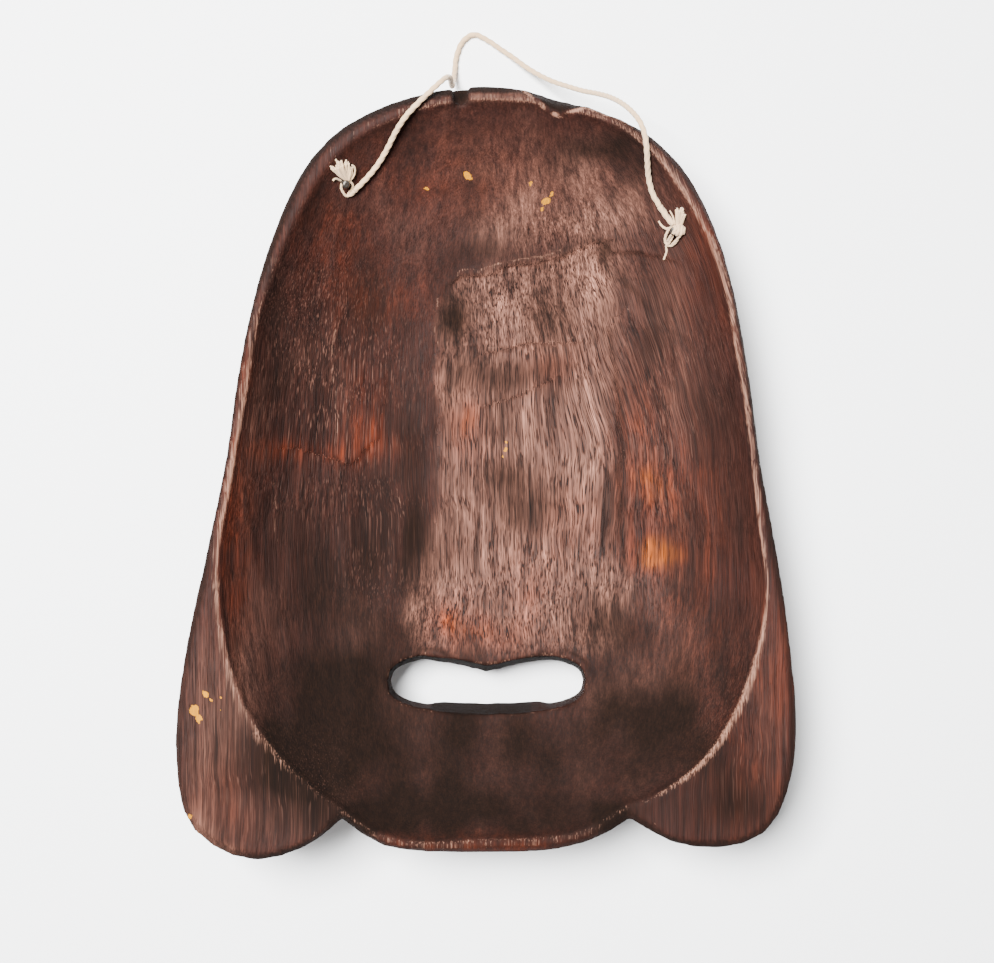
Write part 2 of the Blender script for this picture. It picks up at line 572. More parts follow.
def ovals(x, y, patches):
    """Adds up soft oval patches."""
    total = np.zeros(len(x))
    for middle_x, middle_y, half_x, half_y, strength in patches:
        total += strength * np.exp(-((x - middle_x) / half_x) ** 2 - ((y - middle_y) / half_y) ** 2)
    return total


def hand_drawn(places):
    """X and Y of each place, wavering a little, so that what is drawn with them looks like work by hand."""
    x, y, _ = places.T
    return (
        x + 1.6 * soft_noise(places, 9, 71) + 0.6 * soft_noise(places, 3, 72),
        y + 1.6 * soft_noise(places, 9, 73) + 0.6 * soft_noise(places, 3, 74),
    )


def line_distance(x, y, points):
    """How far each place is from a bent line, how far past its ends, and its side: 1 left and -1 right."""
    nearest = np.full(len(x), np.inf)
    past = np.zeros(len(x))
    side = np.zeros(len(x))
    for start, end in zip(np.array(points, float), np.array(points[1:], float)):
        length = np.hypot(*(end - start))
        along_x, along_y = (end - start) / length
        from_x, from_y = x - start[0], y - start[1]
        travelled = np.clip(from_x * along_x + from_y * along_y, 0, length)
        gap_x, gap_y = from_x - travelled * along_x, from_y - travelled * along_y
        distance = np.hypot(gap_x, gap_y)
        closer = distance < nearest
        nearest = np.where(closer, distance, nearest)
        past = np.where(closer, np.abs(gap_x * along_x + gap_y * along_y), past)
        side = np.where(closer, np.sign(along_x * gap_y - along_y * gap_x), side)
    return nearest, past, side


def strokes(x, y, lines):
    """Soft strokes along lines, with the strongest winning where they cross."""
    strongest = np.zeros(len(x))
    for half_width, strength, points in lines:
        distance, _, _ = line_distance(x, y, points)
        strongest = np.maximum(strongest, strength * np.exp(-(distance / half_width) ** 2))
    return strongest


def chisel_rise(x, y):
    """How far the wood stands up beside the steps that a chisel left."""
    total = np.zeros(len(x))
    for rise, fade, points in CHISEL_STEPS:
        distance, past, side = line_distance(x, y, points)
        total += rise * np.exp(-distance / fade - (past / 3) ** 2) * (side > 0)
    return total


def rubbed_share(x, y):
    """1 in the pale strip down the middle of the hollow and 0 outside it."""
    heights, left, right = np.array(RUBBED_STRIP).T
    inside = smooth_step(x - np.interp(y, heights, left), -3, 5)
    inside *= 1 - smooth_step(x - np.interp(y, heights, right), -8, 9)
    top = np.interp(x, *np.array(CHISEL_STEPS[0][2]).T)
    return inside * smooth_step(y, -72, -60) * (1 - smooth_step(y - top, -1.5, 2))


def stained_hardwood(settings):
    """Open-pored hardwood, gouge carved and stained dark red-brown, with some gold leaf.

    The stain is uneven and rubbed off the high wood, which looks streaked and pale. Wax leaves a satin
    gloss on the fibres, and the open pores are fine dark dashes.
    """
    material, tree = new_material("stained_hardwood_gouge_carved")
    width = settings.fibre_width / MM
    pore_length = settings.pore_length / MM
    share = {}
    for name in ("bare", "dark", "warm", "worn", "pored", "gilt", "dull", "scratched"):
        share[name] = add_node(tree, "ShaderNodeAttribute", attribute_name=name).outputs["Fac"]

    # The grain is kept in millimetres and runs along Y. Each kind of streak has its real width and
    # length, but fibres are drawn just coarse enough to show
    grain = add_node(tree, "ShaderNodeAttribute", attribute_name="grain").outputs["Vector"]
    streak = {}
    for name, across, along, detail in (
        ("fibres", width, 50 * width, 2.5), ("strands", 1.4, 45.0, 3.0),
        ("pores", 1.1 * width, pore_length, 1.0), ("scratches", 1.1 * width, 26.0, 1.0),
        ("bands", 3.2, 45.0, 4.0), ("blotches", 9.0, 20.0, 4.0), ("flakes", 1.6, 2.2, 3.0),
    ):
        stretched = add_node(tree, "ShaderNodeMapping", {
            "Vector": grain, "Scale": (1 / across, 1 / along, 1 / across),
        }).outputs["Vector"]
        streak[name] = add_node(tree, "ShaderNodeTexNoise", {
            "Vector": stretched, "Scale": 1.0, "Detail": detail, "Roughness": 0.6,
        }).outputs["Fac"]
    pores = add_node(tree, "ShaderNodeMapRange", {
        "Value": streak["pores"], "From Min": 0.55, "From Max": 0.66,
    }).outputs["Result"]
    open_pores = add_node(tree, "ShaderNodeMath", {
        0: pores, 1: share["pored"],
    }, operation="MULTIPLY").outputs[0]
    scratches = add_node(tree, "ShaderNodeMapRange", {
        "Value": streak["scratches"], "From Min": 0.6, "From Max": 0.7, "To Max": 0.7,
    }).outputs["Result"]
    scratches = add_node(tree, "ShaderNodeMath", {
        0: scratches, 1: share["scratched"],
    }, operation="MULTIPLY").outputs[0]

    # Old stain is uneven, and worn off where hands and a face rubbed
    stain = add_node(tree, "ShaderNodeMix", {
        0: streak["blotches"], 6: linear_colour("#170c0a"), 7: settings.stain_colour,
    }, data_type="RGBA").outputs[2]
    uneven = add_node(tree, "ShaderNodeMapRange", {
        "Value": streak["bands"], "From Min": 0.33, "From Max": 0.67, "To Min": 0.2, "To Max": 1.5,
    }).outputs["Result"]
    thin = add_node(tree, "ShaderNodeMath", {
        0: share["bare"], 1: uneven,
    }, operation="MULTIPLY", use_clamp=True).outputs[0]
    thinned = add_node(tree, "ShaderNodeMix", {
        0: thin, 6: stain, 7: settings.rubbed_colour,
    }, data_type="RGBA").outputs[2]
    warm = add_node(tree, "ShaderNodeMath", {
        0: share["warm"], 1: uneven,
    }, operation="MULTIPLY", use_clamp=True).outputs[0]

    # Thin stain is red at the left, and orange where it is thinnest at the right
    across_mask = add_node(tree, "ShaderNodeSeparateXYZ", {"Vector": grain}).outputs["X"]
    rightwards = add_node(tree, "ShaderNodeMapRange", {
        "Value": across_mask, "From Min": -30.0, "From Max": 30.0,
    }).outputs["Result"]
    thinnest = add_node(tree, "ShaderNodeMapRange", {
        "Value": share["warm"], "From Min": 0.3, "From Max": 0.8,
    }).outputs["Result"]
    orange = add_node(tree, "ShaderNodeMath", {
        0: rightwards, 1: thinnest,
    }, operation="MULTIPLY").outputs[0]
    warm_colour = add_node(tree, "ShaderNodeMix", {
        0: orange, 6: linear_colour("#54200d"), 7: linear_colour("#6c330b"),
    }, data_type="RGBA").outputs[2]
    warmed = add_node(tree, "ShaderNodeMix", {
        0: warm, 6: thinned, 7: warm_colour,
    }, data_type="RGBA").outputs[2]
    darkened = add_node(tree, "ShaderNodeMix", {
        0: share["dark"], 6: warmed, 7: linear_colour("#0e0603"),
    }, data_type="RGBA").outputs[2]

    # Fibres and strands show most where the pores are open
    fibre_tone = add_node(tree, "ShaderNodeMapRange", {
        "Value": streak["fibres"], "From Min": 0.3, "From Max": 0.7, "To Min": 0.25, "To Max": 1.85,
    }).outputs["Result"]
    strand_tone = add_node(tree, "ShaderNodeMapRange", {
        "Value": streak["strands"], "From Min": 0.32, "From Max": 0.68, "To Min": 0.35, "To Max": 1.6,
    }).outputs["Result"]
    full_tone = add_node(tree, "ShaderNodeMath", {
        0: fibre_tone, 1: strand_tone,
    }, operation="MULTIPLY").outputs[0]
    fibrous = add_node(tree, "ShaderNodeMapRange", {
        "Value": share["pored"], "From Max": 0.6, "To Min": 0.4,
    }).outputs["Result"]
    grain_tone = add_node(tree, "ShaderNodeMix", {0: fibrous, 2: 1.0, 3: full_tone}).outputs[0]
    streaked = add_node(tree, "ShaderNodeMix", {
        0: 1.0, 6: darkened, 7: grain_tone,
    }, data_type="RGBA", blend_type="MULTIPLY").outputs[2]
    scratched = add_node(tree, "ShaderNodeMix", {
        0: scratches, 6: streaked, 7: settings.rubbed_colour,
    }, data_type="RGBA").outputs[2]

    # Wear, pores and leaf come last, broken up by the fibres and by flakes
    wear_left = add_node(tree, "ShaderNodeMath", {
        0: streak["fibres"], 1: -1.0, 2: share["worn"],
    }, operation="MULTIPLY_ADD").outputs[0]
    worn_share = add_node(tree, "ShaderNodeMapRange", {
        "Value": wear_left, "From Min": 0.0, "From Max": 0.3, "To Max": 0.85,
    }).outputs["Result"]
    worn = add_node(tree, "ShaderNodeMix", {
        0: worn_share, 6: scratched, 7: settings.worn_colour,
    }, data_type="RGBA").outputs[2]
    pored = add_node(tree, "ShaderNodeMix", {
        0: open_pores, 6: worn, 7: linear_colour("#170c0a"),
    }, data_type="RGBA").outputs[2]
    leaf_left = add_node(tree, "ShaderNodeMath", {
        0: streak["flakes"], 1: -1.0, 2: share["gilt"],
    }, operation="MULTIPLY_ADD").outputs[0]
    leaf = add_node(tree, "ShaderNodeMapRange", {
        "Value": leaf_left, "From Min": 0.0, "From Max": 0.06,
    }).outputs["Result"]
    colour = add_node(tree, "ShaderNodeMix", {
        0: leaf, 6: pored, 7: settings.gold_colour,
    }, data_type="RGBA").outputs[2]

    # Rubbed wax is satin on the wood, and dull in the pores, in thick stain and on raw edges
    satin = add_node(tree, "ShaderNodeMapRange", {
        "Value": streak["fibres"], "From Min": 0.3, "From Max": 0.7, "To Min": 0.5, "To Max": 0.78,
    }).outputs["Result"]
    roughness = add_node(tree, "ShaderNodeMix", {0: share["dull"], 2: satin, 3: 0.95}).outputs[0]
    fibre_relief = add_node(tree, "ShaderNodeMath", {
        0: open_pores, 1: -1.0, 2: streak["fibres"],
    }, operation="MULTIPLY_ADD").outputs[0]
    bump = add_node(tree, "ShaderNodeBump", {
        "Height": fibre_relief, "Strength": 0.8, "Distance": 0.3 * MM,
    }).outputs["Normal"]
    metal = add_node(tree, "ShaderNodeMath", {0: leaf, 1: 0.25}, operation="MULTIPLY").outputs[0]
    surface = add_node(tree, "ShaderNodeBsdfPrincipled", {
        "Base Color": colour, "Metallic": metal, "Roughness": roughness, "Normal": bump,
        "IOR": 1.5, "Specular IOR Level": 0.09,
    })
    add_node(tree, "ShaderNodeOutputMaterial", {"Surface": surface.outputs["BSDF"]})
    return material


def spun_cotton(settings):
    """Unbleached cotton spun into yarn: matt and soft, with fine fibres along the twist."""
    material, tree = new_material("unbleached_cotton_twisted")
    place = add_node(tree, "ShaderNodeUVMap", uv_map="along").outputs["UV"]
    stretched = add_node(tree, "ShaderNodeMapping", {
        "Vector": place, "Scale": (1 / (0.25 * MM), 1 / (3 * MM), 1.0),
    }).outputs["Vector"]
    fibres = add_node(tree, "ShaderNodeTexNoise", {
        "Vector": stretched, "Scale": 1.0, "Detail": 3.0,
    }).outputs["Fac"]
    colour = add_node(tree, "ShaderNodeMix", {
        0: fibres, 6: linear_colour("#9c7e5e"), 7: settings.cotton_colour,
    }, data_type="RGBA").outputs[2]
    bump = add_node(tree, "ShaderNodeBump", {
        "Height": fibres, "Strength": 0.5, "Distance": 0.12 * MM,
    }).outputs["Normal"]
    surface = add_node(tree, "ShaderNodeBsdfPrincipled", {
        "Base Color": colour, "Roughness": 0.9, "Normal": bump, "Sheen Weight": 0.3,
    })
    add_node(tree, "ShaderNodeOutputMaterial", {"Surface": surface.outputs["BSDF"]})
    return material


def drawn_steel():
    """Drawn steel wire nail: grey and only half bright, because it is tarnished in spots."""
    material, tree = new_material("dull_steel_drawn")
    place = add_node(tree, "ShaderNodeTexCoord").outputs["Object"]
    tarnish = add_node(tree, "ShaderNodeTexNoise", {
        "Vector": place, "Scale": 1 / (0.8 * MM), "Detail": 4.0,
    }).outputs["Fac"]
    colour = add_node(tree, "ShaderNodeMix", {
        0: tarnish, 6: linear_colour("#4e4742"), 7: linear_colour("#8a837c"),
    }, data_type="RGBA").outputs[2]
    roughness = add_node(tree, "ShaderNodeMapRange", {
        "Value": tarnish, "To Min": 0.35, "To Max": 0.6,
    }).outputs["Result"]
    surface = add_node(tree, "ShaderNodeBsdfPrincipled", {
        "Base Color": colour, "Metallic": 1.0, "Roughness": roughness,
    })
    add_node(tree, "ShaderNodeOutputMaterial", {"Surface": surface.outputs["BSDF"]})
    return material


class MASK_OT_set_stage(bpy.types.Operator):
    """Sets the camera over the mask, the soft lights and the white floor"""

    bl_idname = "mask.set_stage"
    bl_label = "Set Stage"

    def execute(self, context):
        settings = context.scene.mask_stage
        deselect_all()
        camera_x, camera_y = CAMERA_OVER
        bpy.ops.object.camera_add(location=(camera_x * MM, camera_y * MM, settings.camera_height))
        camera = context.active_object
        camera.name = "camera"
        camera.data.sensor_width = 36
        camera.data.lens = settings.focal_pixels / IMAGE_WIDTH * camera.data.sensor_width
        camera.data.clip_start = 0.01
        context.scene.camera = camera

        deselect_all()
        bpy.ops.object.light_add(type="AREA", location=LAMP_PLACE)
        lamp = context.active_object
        lamp.name = "soft_overhead_lamp"
        lamp.data.shape = "SQUARE"
        lamp.data.size = settings.lamp_size
        lamp.data.energy = settings.lamp_power
        lamp.rotation_euler = LAMP_PLACE.to_track_quat("Z", "Y").to_euler()

        world = bpy.data.worlds.new("even_sky")
        world.use_nodes = True
        background = world.node_tree.nodes["Background"]
        background.inputs["Color"].default_value = (1, 1, 1, 1)
        background.inputs["Strength"].default_value = settings.sky_strength
        context.scene.world = world

        deselect_all()
        bpy.ops.mesh.primitive_plane_add(size=4)
        floor = context.active_object
        floor.name = "white_table"
        material, tree = new_material("matt_white_laminate")
        surface = add_node(tree, "ShaderNodeBsdfPrincipled", {
            "Base Color": settings.floor_colour, "Roughness": 0.6,
        })
        add_node(tree, "ShaderNodeOutputMaterial", {"Surface": surface.outputs["BSDF"]})
        floor.data.materials.append(material)
        return {"FINISHED"}


class MASK_OT_carve_mask(bpy.types.Operator):
    """Carves the mask: a fine mesh over its solid, with gouge cuts, worn edges and stained wood"""

    bl_idname = "mask.carve_mask"
    bl_label = "Carve Mask"

    def execute(self, context):
        settings = context.scene.mask_carving
        mask = self.remesh_solid(settings)
        edges, count = mesh_edges(mask)
        places = vertex_places(mask)
        for _ in range(SMOOTHING_PASSES):
            for pull in SMOOTHING_PULLS:
                places += pull * (neighbour_mean(places, edges, count) - places)
        angle, distance = compass(*places.T[:2])
        past_arris = distance - edge_distance(angle, HOLLOW_EDGE)
        inside_edge = edge_distance(angle, OUTER_EDGE) - distance
        places = self.shape_rim(places, edges, count, angle, past_arris, inside_edge)
        move_vertices(mask, places)
        places = self.cut_hollow(mask, places, past_arris, settings)
        places[:, 2] = np.maximum(places[:, 2], 0)  # the mask rests on the table
        move_vertices(mask, places)
        self.stain_wood(mask, places, edges, count, angle, past_arris, inside_edge, settings)
        self.gild_wood(mask, places)
        self.lay_grain(mask, places)
        select_only(mask)
        bpy.ops.object.shade_smooth()
        finish_piece(mask, "carved_wood", stained_hardwood(settings), "mask_body")
        return {"FINISHED"}

    def remesh_solid(self, settings):
        """An even fine mesh over the solid mask, coarser on the side that faces the table."""
        mask = merged_copy("mask_body", "carved_mask")
        apply_modifier(mask, "REMESH", mode="VOXEL", voxel_size=settings.mesh_size)
        group = mask.vertex_groups.new(name="front")
        front = vertex_normals(mask)[:, 2] < -0.1
        group.add(np.flatnonzero(front).tolist(), 1.0, "REPLACE")
        ratio = MASK_TRIANGLES / (2 * len(mask.data.polygons))
        apply_modifier(mask, "DECIMATE", ratio=ratio, vertex_group="front", vertex_group_factor=10)
        mask.vertex_groups.clear()
        return mask

    def outer_share(self, start, past_arris, inside_edge):
        """0 on the flat of the rim and 1 at its outer edge."""
        band = past_arris + inside_edge
        start = np.maximum(np.minimum(start, 0.7 * band), band - EAR_SLOPE_WIDTH)
        return smooth_step((past_arris - start) / np.maximum(band - start, 0.5), 0, 1)

    def shape_rim(self, places, edges, count, angle, past_arris, inside_edge):
        """Rubs down the outside of the rim, and rounds the arris where it is soft."""
        z = places[:, 2]
        fall, start, _ = round_the_rim(angle, OUTER_SLOPE)
        outward = self.outer_share(start, past_arris, inside_edge)
        drop = fall * outward * smooth_step(z, BACK_HEIGHT - 10, BACK_HEIGHT - 1)
        knocks = np.maximum(soft_noise(places, 3.5, 21) - 0.15, 0) + 0.4 * soft_noise(places, 8, 22)
        near_arris = np.exp(-(past_arris / 2.5) ** 2) * smooth_step(z, BACK_HEIGHT - 4, BACK_HEIGHT - 1)
        places[:, 2] = z - drop - 0.5 * knocks * near_arris
        soft = np.exp(-((angle - SOFT_ARRIS_ANGLE) / SOFT_ARRIS_SPREAD) ** 2)
        soft *= np.exp(-((past_arris + 1) / 5) ** 2)
        soft *= smooth_step(z, BACK_HEIGHT - 14, BACK_HEIGHT - 8)
        for _ in range(SOFT_ARRIS_PASSES):
            places += (0.5 * soft)[:, None] * (neighbour_mean(places, edges, count) - places)
        return places

    def cut_hollow(self, mask, places, past_arris, settings):
        """Gouge cuts and chisel steps in the hollow, and an uneven surface elsewhere."""
        x, y, _ = places.T
        normals = vertex_normals(mask)
        hollow = (1 - smooth_step(past_arris, -7, -1)) * smooth_step(normals[:, 2], 0.05, 0.3)
        cuts = gouge_cuts(x, y, settings.gouge_width / MM, GOUGE_SEED)
        rise = settings.gouge_depth / MM * cuts * hollow
        rise += chisel_rise(*hand_drawn(places)) * hollow
        rise += 0.12 * soft_noise(places, 7, 31) + 0.05 * soft_noise(places, 2.6, 32)
        return places + normals * rise[:, None]

    def stain_wood(self, mask, places, edges, count, angle, past_arris, inside_edge, settings):
        """Keeps where the wood is rubbed, dirty, warm, scratched, worn and pored."""
        x, y = hand_drawn(places)
        true_x, true_y, z = places.T
        normals = vertex_normals(mask)
        facing_up = smooth_step(normals[:, 2], 0.0, 0.25)
        hollow = (1 - smooth_step(past_arris, -3, 0)) * facing_up

        # Rubbed wood is pale, most of all on the ridges between gouge cuts
        rubbed = rubbed_share(x, y) * hollow
        unevenness = 0.75 + 0.35 * soft_noise(places, 14, 41) + 0.15 * soft_noise(places, 5, 42)
        cuts = gouge_cuts(true_x, true_y, settings.gouge_width / MM, GOUGE_SEED)
        ridges = smooth_step(cuts, 0.35, 0.8) * hollow
        bare = (0.7 * rubbed + ovals(x, y, BARE_PATCHES) + 0.07 * ridges) * unevenness * facing_up
        store_attribute(mask, "bare", bare)

        # Dirt on the outer rim, the broken stretch of rim and the cut in the top rim
        _, start, dirt = round_the_rim(angle, OUTER_SLOPE)
        edge_dirt = dirt * smooth_step(self.outer_share(start, past_arris, inside_edge), 0.02, 0.4)
        distance, past, side = line_distance(true_x, true_y, CHIP_ARRIS)
        chipped = smooth_step(distance, 0.4, 1.6) * (side > 0) * np.exp(-(past / 2) ** 2)
        chipped *= z > BACK_HEIGHT - 14
        notch_x = (true_x - NOTCH_MIDDLE[0]) / NOTCH_HALF[0]
        notch_y = (true_y - NOTCH_MIDDLE[1]) / NOTCH_HALF[1]
        notch = np.exp(-notch_x ** 4 - notch_y ** 4)
        outer_dirt = np.maximum.reduce([edge_dirt * smooth_step(z, 30, 50), 0.9 * chipped, notch])

        # The walls of the mouth slot are dark, but for the two ends of its lower side
        steep = 1 - smooth_step(np.abs(normals[:, 2]), 0.3, 0.6)
        in_slot = steep * (np.abs(x - SLOT_MIDDLE[0]) < SLOT_HALF[0])
        in_slot *= np.abs(y - SLOT_MIDDLE[1]) < SLOT_HALF[1]
        beside_ledge = (true_y < LEDGE_TOP) & (np.abs(true_x - LEDGE_MIDDLE) > LEDGE_WIDTH / 2)
        slot_dirt = in_slot * np.where(beside_ledge, 0.1, 0.9)

        # Thick stain in patches, in the bottoms of the gouge cuts and along the chisel's steps
        dark = ovals(x, y, DARK_PATCHES) * (0.85 + 0.3 * soft_noise(places, 12, 43)) * facing_up
        dark += 0.3 * (1 - smooth_step(cuts, -0.2, 0.3)) * hollow
        dark_lines = strokes(x, y, DARK_LINES) * facing_up * (0.7 + 0.3 * soft_noise(places, 4, 45))
        dark = np.maximum.reduce([0.95 * np.minimum(dark, 1), outer_dirt, 0.8 * dark_lines, slot_dirt])
        pale_lines = strokes(x, y, PALE_LINES) * hollow
        store_attribute(mask, "dark", dark * (1 - 0.8 * pale_lines))
        store_attribute(mask, "dull", np.maximum.reduce([0.9 * dark, steep, outer_dirt]))
        warm = ovals(x, y, WARM_PATCHES) * (0.9 + 0.5 * soft_noise(places, 6, 44)) * facing_up
        store_attribute(mask, "warm", 0.05 + 0.8 * warm)
        scratched = ovals(x, y, SCRATCHED_PATCHES) * facing_up * (1 - 0.8 * dark)
        store_attribute(mask, "scratched", scratched)
        pored = 0.15 + rubbed + ovals(x, y, PORE_PATCHES)
        store_attribute(mask, "pored", 0.9 * pored * (1 - 0.7 * np.minimum(dark, 1)))

        # Bare wood on the arris, on sharp corners, along the break and on a few chisel marks
        inwards, outwards, strength = round_the_rim(angle, ARRIS_WEAR)
        reach = np.where(past_arris < 0, inwards, outwards)
        arris = strength * np.exp(-(past_arris / reach) ** 2)
        arris *= smooth_step(z, BACK_HEIGHT - 6, BACK_HEIGHT - 2)
        bulge = np.einsum("ij,ij->i", places - neighbour_mean(places, edges, count), normals)
        bulge = neighbour_mean(bulge, edges, count)
        corner = smooth_step(bulge, 0.03, 0.12) * (1 - in_slot) * 0.6
        ragged = 0.75 + 0.5 * soft_noise(places, 2.2, 46)
        chip_line = ragged * np.exp(-(distance / 1.1) ** 2 - (past / 2) ** 2) * (z > BACK_HEIGHT - 6)
        worn = np.maximum.reduce([arris, 0.8 * corner]) * (1 - outer_dirt)
        store_attribute(mask, "worn", np.maximum.reduce([worn, chip_line, pale_lines]))

    def gild_wood(self, mask, places):
        """Keeps where gold leaf is left: a few flecks on the back, and patches on the face."""
        x, y = hand_drawn(places)
        upright = vertex_normals(mask)[:, 2]
        facing_up = smooth_step(upright, 0.0, 0.25)
        gilt = np.zeros(len(x))
        for fleck_x, fleck_y, half_width in GOLD_FLECKS:
            away = np.hypot(x - fleck_x, y - fleck_y) / half_width
            gilt = np.maximum(gilt, np.exp(-away ** 2) * facing_up)
        face = smooth_step(-upright, 0.1, 0.5)
        gilt = np.maximum(gilt, face * (0.2 + 0.4 * soft_noise(places, 18, 51)))
        store_attribute(mask, "gilt", gilt)

    def lay_grain(self, mask, places):
        """Keeps the wood's own coordinates: its grain leans at upper right, and wavers."""
        x, y, z = places.T
        up = np.maximum(y - GRAIN_LEAN_START, 0)
        lean = GRAIN_LEAN * up ** 2 / (up + 15) * smooth_step(x, -5, 45)
        waver = 1.3 * soft_noise(places, 24, 61) + 0.45 * soft_noise(places, 8, 62)
        grain = np.stack([x + lean + waver, y, z + 0.5 * waver], axis=1)
        attribute = mask.data.attributes.new("grain", "FLOAT_VECTOR", "POINT")
        attribute.data.foreach_set("vector", grain.astype(np.float32).ravel())


def route_frames(middles):
    """Two directions square to the route at each of its points, carried along without twisting."""
    tangents = np.gradient(middles, axis=0)
    tangents /= np.linalg.norm(tangents, axis=1)[:, None]
    first = np.cross(tangents[0], (0.3, 0.2, 0.9))
    sides = []
    for tangent in tangents:
        first = first - tangent * np.dot(first, tangent)
        first /= np.linalg.norm(first)
        sides.append(first)
    sides = np.array(sides)
    return sides, np.cross(tangents, sides)


def twisted_tube(points, radii, strands, twist_length, around, spacing):
    """Vertices, faces and UV of a tube of twisted strands, with closed ends, and its middle line."""
    middles, travelled = smooth_route(points, spacing)
    sides, ups = route_frames(middles)
    radii = np.interp(np.linspace(0, 1, len(middles)), np.linspace(0, 1, len(radii)), radii)
    angles = np.linspace(0, 2 * math.pi, around, endpoint=False)
    turned = angles[None, :] - 2 * math.pi * travelled[:, None] / twist_length
    strand_angle = 2 * math.pi / strands
    from_strand = (turned + strand_angle / 2) % strand_angle - strand_angle / 2
    # Each strand is round, and they touch their neighbours
    share = 1 / (1 + 1 / math.sin(math.pi / strands)) if strands > 1 else 1
    out = share / math.sin(math.pi / strands) if strands > 1 else 0
    inside = np.maximum(share ** 2 - (out * np.sin(from_strand)) ** 2, 0)
    outline = np.maximum(out * np.cos(from_strand) + np.sqrt(inside), 0.72)
    outline = 1 - STRAND_GROOVE * (1 - outline)
    distance = radii[:, None] * outline
    rings = (
        middles[:, None, :]
        + (distance * np.cos(angles))[:, :, None] * sides[:, None, :]
        + (distance * np.sin(angles))[:, :, None] * ups[:, None, :]
    )
    vertices = np.vstack([rings.reshape(-1, 3), middles[:1], middles[-1:]])
    count = len(middles)
    faces = []
    coordinates = []
    for ring in range(count - 1):
        for i in range(around):
            j = (i + 1) % around
            here, there = ring * around, (ring + 1) * around
            faces.append((here + i, here + j, there + j, there + i))
            low, high = travelled[ring], travelled[ring + 1]
            left = angles[i] * radii[ring]
            right = (angles[i] + 2 * math.pi / around) * radii[ring]
            coordinates += [(left, low), (right, low), (right, high), (left, high)]
    first = count * around
    last = (count - 1) * around
    for i in range(around):
        j = (i + 1) % around
        faces.append((first, j, i))
        faces.append((first + 1, last + i, last + j))
        coordinates += [(0, 0)] * 3 + [(0, travelled[-1])] * 3
    return vertices, faces, coordinates, middles


def build_piece(name, parts):
    """One mesh of several tubes, with a UV map that runs along them."""
    vertices = []
    faces = []
    coordinates = []
    for part_vertices, part_faces, part_coordinates, _ in parts:
        start = len(vertices)
        vertices += (part_vertices * MM).tolist()
        faces += [tuple(start + i for i in face) for face in part_faces]
        coordinates += part_coordinates
    mesh = bpy.data.meshes.new(name)
    mesh.from_pydata(vertices, [], faces)
    layer = mesh.uv_layers.new(name="along")
    layer.data.foreach_set("uv", (np.array(coordinates) * MM).astype(np.float32).ravel())
    mesh.shade_smooth()
    piece = bpy.data.objects.new(name, mesh)
    bpy.context.scene.collection.objects.link(piece)
    return piece


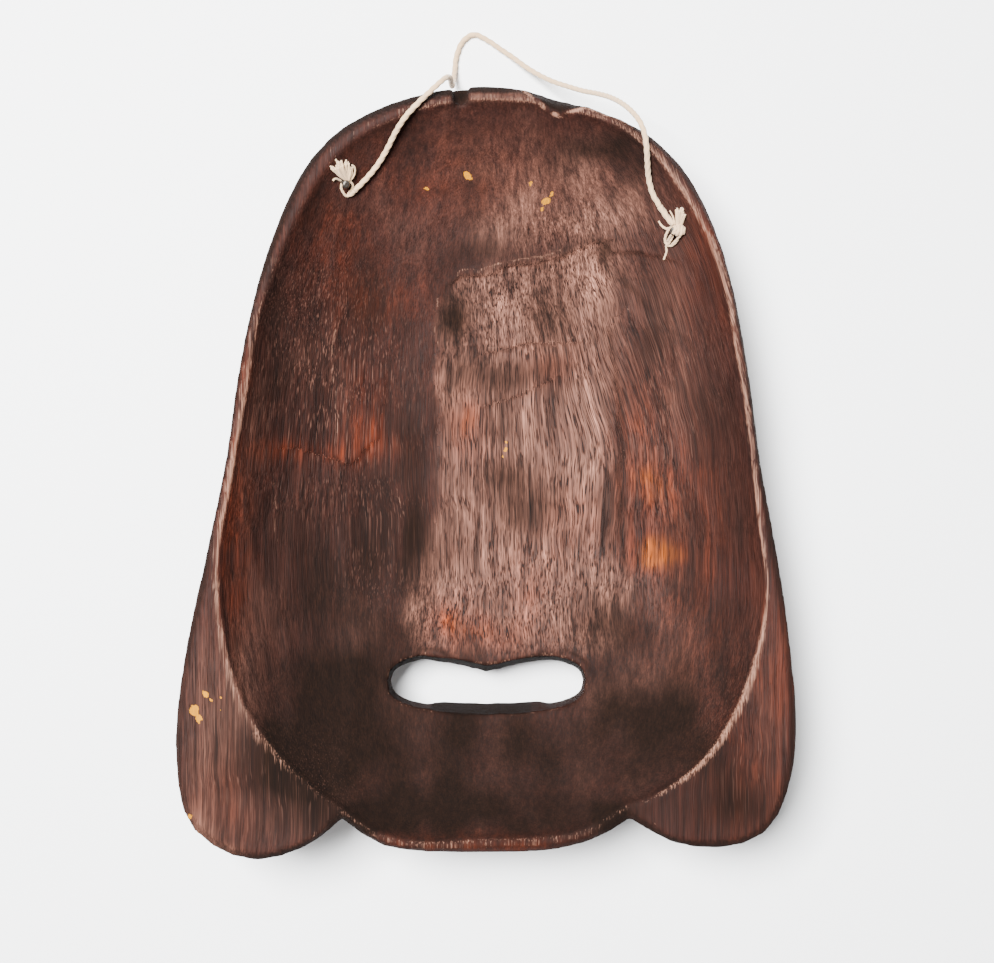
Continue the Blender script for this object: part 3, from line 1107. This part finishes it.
class MASK_OT_lay_cord(bpy.types.Operator):
    """Lays the twisted cotton cord from nail to nail over the rim, with its tied and frayed ends"""

    bl_idname = "mask.lay_cord"
    bl_label = "Lay Cord"

    def execute(self, context):
        settings = context.scene.mask_cord
        cotton = spun_cotton(settings)
        radius = settings.diameter / MM / 2
        twist = settings.twist_length / MM
        wood = self.hollow_surface()
        draw = random.Random(settings.seed)
        for side, near, end, yarns, frays in (
            ("left", CORD_ROUTE[0], LEFT_CORD_END, LEFT_YARNS, LEFT_FRAYS),
            ("right", CORD_ROUTE[-1], RIGHT_CORD_END, RIGHT_YARNS, RIGHT_FRAYS),
        ):
            start_radius, end_radius, line = end
            route = [near, *(self.above(wood, place) for place in line)]
            radii = [start_radius, end_radius]
            parts = [twisted_tube(route, radii, CORD_STRANDS, twist, around=24, spacing=0.4)]
            for start_radius, end_radius, line in yarns:
                route = [self.above(wood, place) for place in line]
                radii = [start_radius, end_radius]
                parts.append(twisted_tube(
                    route, radii, YARN_STRANDS, YARN_TWIST_LENGTH, around=12, spacing=0.25,
                ))
            if side == "right":
                parts.append(self.wound_lump(wood))
            parts += self.frayed_tuft(wood, frays, draw)
            knot = build_piece("knot_and_tuft_" + side, parts)
            finish_piece(knot, "cotton_cord", cotton, "knot_" + side)

        tube = twisted_tube(CORD_ROUTE, [radius, radius], CORD_STRANDS, twist, around=24, spacing=0.6)
        cord = build_piece("twisted_cord", [tube])
        finish_piece(cord, "cotton_cord", cotton, "hanging_cord")
        return {"FINISHED"}

    def hollow_surface(self):
        """The solid mask as something that a line can be dropped onto."""
        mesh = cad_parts["mask_body"].data
        corners = [vertex.co for vertex in mesh.vertices]
        return BVHTree.FromPolygons(corners, [tuple(face.vertices) for face in mesh.polygons])

    def above(self, wood, place):
        """A place in millimetres that is given by its height over the wood."""
        x, y, height = place
        hit, _, _, _ = wood.ray_cast(Vector((x, y, 2 * BACK_HEIGHT)) * MM, Vector((0, 0, -1)))
        if hit is None:
            raise RuntimeError(f"There is no wood under the knot at {x}, {y}")
        return (x, y, hit.z / MM + height)

    def wound_lump(self, wood):
        """Yarn wound round and round into the lump of a knot."""
        place, radius, turns, yarn_radius = RIGHT_LUMP
        middle = np.array(self.above(wood, place))
        steps = np.linspace(0, 1, 12 * turns)
        turn = 2 * math.pi * turns * steps
        slide = np.cos(math.pi * steps)
        reach = radius * np.sqrt(1 - 0.7 * slide ** 2)
        steps_out = [1.1 * radius * slide, reach * np.cos(turn), 0.8 * reach * np.sin(turn)]
        route = middle + np.stack(steps_out, axis=1)
        radii = [yarn_radius, yarn_radius]
        return twisted_tube(route, radii, YARN_STRANDS, twist_length=4.0, around=14, spacing=0.3)

    def frayed_tuft(self, wood, frays, draw):
        """Loose strands of cotton that spread from a knot."""
        parts = []
        for root, tip, spread, count in frays:
            root = np.array(self.above(wood, root))
            tip = np.array(self.above(wood, tip))
            for _ in range(count):
                aside = np.array([draw.uniform(-1, 1) for _ in range(3)])
                start = root + 0.3 * aside
                end = tip + spread * aside - (tip - root) * draw.uniform(0, 0.2)
                bend = (start + end) / 2 + 0.4 * spread * np.array([draw.uniform(-1, 1) for _ in range(3)])
                parts.append(twisted_tube(
                    [start, bend, end], FRAY_RADII, 1, YARN_TWIST_LENGTH, around=6, spacing=0.5,
                ))
        return parts


class MASK_OT_drive_nails(bpy.types.Operator):
    """Makes the two steel nails, with rounded and hammered heads"""

    bl_idname = "mask.drive_nails"
    bl_label = "Drive Nails"

    def execute(self, context):
        steel = drawn_steel()
        for side in ("left", "right"):
            nail = merged_copy("nail_" + side, "steel_nail_" + side)
            apply_modifier(nail, "BEVEL", width=NAIL_ROUNDING * MM, segments=2, limit_method="ANGLE")
            apply_modifier(nail, "SUBSURF", levels=2, render_levels=2)
            places = vertex_places(nail)
            dents = NAIL_DENTS * soft_noise(places, 0.7, 81)
            move_vertices(nail, places + dents[:, None] * vertex_normals(nail))
            select_only(nail)
            bpy.ops.object.shade_smooth()
            finish_piece(nail, "nail_steel", steel, "nail_" + side)
        return {"FINISHED"}


class MASK_PT_panel(bpy.types.Panel):
    """Lists the steps that make the mask"""

    bl_label = "Wooden Mask"
    bl_idname = "MASK_PT_panel"
    bl_space_type = "VIEW_3D"
    bl_region_type = "UI"
    bl_category = "Wooden Mask"

    def draw(self, context):
        for group in ("mask_stage", "mask_carving", "mask_cord"):
            settings = getattr(context.scene, group)
            for name in settings.bl_rna.properties.keys():
                if name not in ("rna_type", "name"):
                    self.layout.prop(settings, name)
        for operator in STEPS:
            self.layout.operator(operator.bl_idname)


STEPS = (MASK_OT_set_stage, MASK_OT_lay_cord, MASK_OT_drive_nails, MASK_OT_carve_mask)
CLASSES = (CarvingSettings, CordSettings, StageSettings, *STEPS, MASK_PT_panel)


def register():
    for item in CLASSES:
        bpy.utils.register_class(item)
    bpy.types.Scene.mask_carving = PointerProperty(type=CarvingSettings)
    bpy.types.Scene.mask_cord = PointerProperty(type=CordSettings)
    bpy.types.Scene.mask_stage = PointerProperty(type=StageSettings)


def unregister():
    del bpy.types.Scene.mask_carving
    del bpy.types.Scene.mask_cord
    del bpy.types.Scene.mask_stage
    for item in reversed(CLASSES):
        bpy.utils.unregister_class(item)


def main():
    register()
    bpy.ops.mask.set_stage()
    bpy.ops.mask.lay_cord()
    bpy.ops.mask.drive_nails()
    bpy.ops.mask.carve_mask()


if __name__ == "__main__":
    main()
